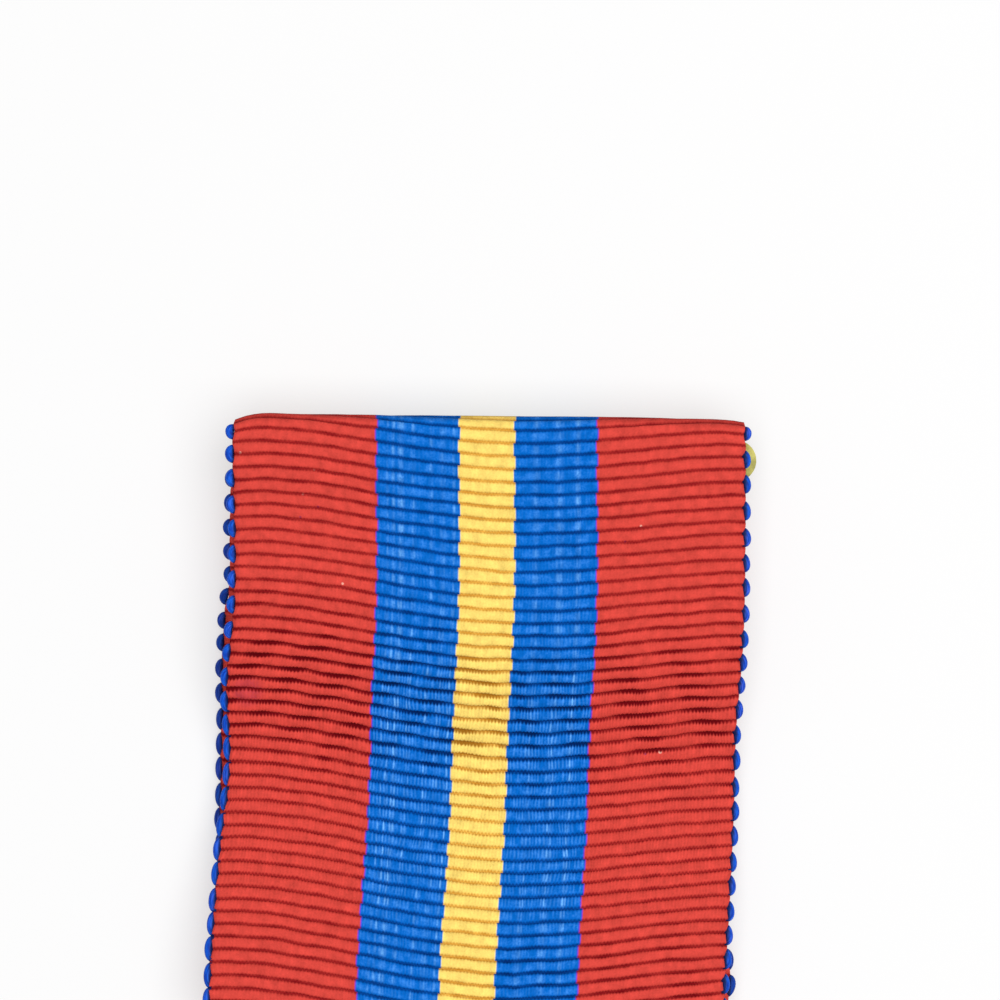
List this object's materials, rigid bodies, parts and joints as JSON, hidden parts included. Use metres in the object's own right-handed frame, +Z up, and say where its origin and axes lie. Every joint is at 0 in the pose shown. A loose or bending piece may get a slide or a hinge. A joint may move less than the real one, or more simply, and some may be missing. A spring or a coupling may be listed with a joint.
{
  "type": "merit medal on a doubled ribbon with a brooch pin",
  "caption": "Round bronze medal with a plain relief star, hung by a ring from a doubled, ribbed, striped woven ribbon with a brooch pin behind its top fold, lying flat.",
  "frame": {"origin": "middle of the pendant's flat back face, on the surface that the medal lies on", "axes": "+Z up from that surface, out of the pendant's face; +Y up the ribbon to its top fold; +X to the right as the face is seen"},
  "size_m": [0.0395, 0.1043, 0.0055],
  "materials": {
    "ribbon": "ribbed woven ribbon, red with two blue stripes and a yellow one between them",
    "brooch_pin": "plain brass, lightly tarnished",
    "suspension_ring": "aged bronze wire, rubbed bright where it bears",
    "medal_disc": "struck bronze, aged, darker in the recesses and rubbed on the rim and the star"
  },
  "bodies": {
    "root": {"ribbon": "ribbon", "brooch_pin": "brooch_pin", "suspension_ring": "suspension_ring", "medal_disc": "medal_disc"}
  },
  "joints": []
}
